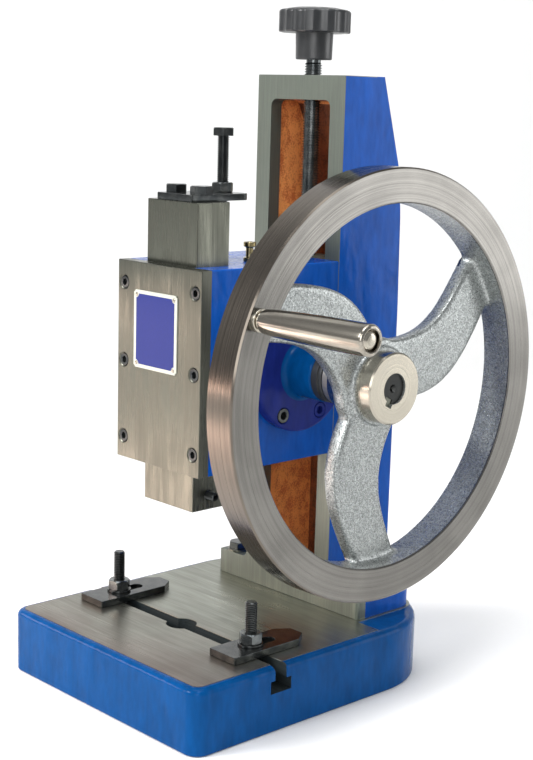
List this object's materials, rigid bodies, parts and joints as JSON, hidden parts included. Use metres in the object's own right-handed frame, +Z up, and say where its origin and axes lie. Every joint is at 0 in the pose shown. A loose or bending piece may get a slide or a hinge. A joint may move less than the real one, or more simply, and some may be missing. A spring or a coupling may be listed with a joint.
{
  "type": "manual punch press",
  "caption": "Bench punch press with a large spoked handwheel that drives a square ram down by rack and pinion; the head slides on a hollow column and is set by a knob and screw.",
  "frame": {"origin": "on the bench, straight below the ram's axis and on the machine's plane of symmetry", "axes": "+Z up along the ram and the column, +X towards the handwheel, -Y towards the operator"},
  "size_m": [0.3195, 0.2764, 0.462],
  "materials": {
    "base_paint": "bright blue gloss enamel over rough cast iron",
    "machine_paint": "royal blue gloss enamel over cast iron, slideways left bare",
    "housing_paint": "blue gloss enamel",
    "ground_iron": "ground bare iron",
    "ground_steel": "ground steel with a straight grain",
    "bright_steel": "turned and milled bright steel",
    "silver_casting": "silver painted rough casting with a turned bright rim",
    "black_oxide": "black oxide steel",
    "black_plastic": "glossy black plastic",
    "bronze": "turned bearing bronze",
    "brass": "turned brass",
    "plate_blue": "blue enamelled aluminium with a pale border",
    "polished_steel": "polished bright steel"
  },
  "bodies": {
    "stand": {"base": "base_paint", "column": "machine_paint", "column_bolts": "black_oxide", "column_washers": "bright_steel"},
    "head": {"head": "machine_paint", "left_keeper": "ground_iron", "right_keeper": "ground_iron", "keeper_bolts": "black_oxide", "cover_plate": "ground_steel", "cover_screws": "black_oxide", "nameplate": "plate_blue", "nameplate_rivets": "brass", "bearing_housing": "housing_paint", "housing_screws": "black_oxide", "outer_bush": "bronze", "inner_bush": "bronze", "seal_ring": "black_plastic", "oil_cup": "brass"},
    "screw": {"elevating_screw": "black_oxide", "height_knob": "black_plastic", "screw_collar": "bright_steel", "collar_pin": "bright_steel"},
    "wheel": {"handwheel": "silver_casting", "pinion_shaft": "bright_steel", "wheel_key": "bright_steel", "shaft_collar": "bright_steel", "hub_set_screw": "black_oxide", "handle_spindle": "bright_steel"},
    "grip": {"handle_grip": "polished_steel"},
    "ram": {"ram": "ground_steel", "rack": "bright_steel", "rack_screws": "black_oxide", "ram_top_plate": "black_oxide", "top_plate_bolts": "black_oxide", "stop_nut": "black_oxide"},
    "stop": {"stop_bolt": "black_oxide"},
    "tool_screw": {"tool_screw": "bright_steel"},
    "left_clamp": {"left_t_bolt": "black_oxide", "left_clamp_washer": "black_oxide", "left_clamp_nut": "black_oxide"},
    "left_strap": {"left_strap": "black_oxide"},
    "right_clamp": {"right_t_bolt": "black_oxide", "right_clamp_washer": "black_oxide", "right_clamp_nut": "black_oxide"},
    "right_strap": {"right_strap": "black_oxide"}
  },
  "joints": [
    {"name": "head_slide", "type": "slide", "parent": "stand", "child": "head", "axis": [0, 0, 1], "range_m": [-0.01, 0.09]},
    {"name": "knob_turn", "type": "hinge", "parent": "head", "child": "screw", "pos_m": [0, 0.1103, 0.436], "axis": [0, 0, 1], "range_deg": [-2058, 18516]},
    {"name": "wheel_turn", "type": "hinge", "parent": "head", "child": "wheel", "pos_m": [0.12, 0.0605, 0.223], "axis": [1, 0, 0], "range_deg": [-40.1, 77.2]},
    {"name": "ram_slide", "type": "slide", "parent": "head", "child": "ram", "axis": [0, 0, -1], "range_m": [-0.014, 0.027]},
    {"name": "grip_spin", "type": "hinge", "parent": "wheel", "child": "grip", "pos_m": [0.18, -0.05762, 0.27609], "axis": [1, 0, 0], "continuous": true},
    {"name": "stop_adjust", "type": "slide", "parent": "ram", "child": "stop", "axis": [0, 0, 1], "range_m": [-0.015, 0.01]},
    {"name": "tool_screw_adjust", "type": "slide", "parent": "ram", "child": "tool_screw", "axis": [1, 0, 0], "range_m": [-0.004, 0.006]},
    {"name": "left_clamp_slide", "type": "slide", "parent": "stand", "child": "left_clamp", "axis": [1, 0, 0], "range_m": [-0.018, 0.04]},
    {"name": "left_strap_swivel", "type": "hinge", "parent": "left_clamp", "child": "left_strap", "pos_m": [-0.07, 0, 0.047], "axis": [0, 0, 1], "range_deg": [-60, 60]},
    {"name": "right_clamp_slide", "type": "slide", "parent": "stand", "child": "right_clamp", "axis": [1, 0, 0], "range_m": [-0.04, 0.018]},
    {"name": "right_strap_swivel", "type": "hinge", "parent": "right_clamp", "child": "right_strap", "pos_m": [0.07, 0, 0.047], "axis": [0, 0, 1], "range_deg": [-60, 60]}
  ],
  "couplings": [
    {"joint": "knob_turn", "follows": "head_slide", "rad_per_m": 3590.4},
    {"joint": "ram_slide", "follows": "wheel_turn", "m_per_rad": 0.02}
  ]
}
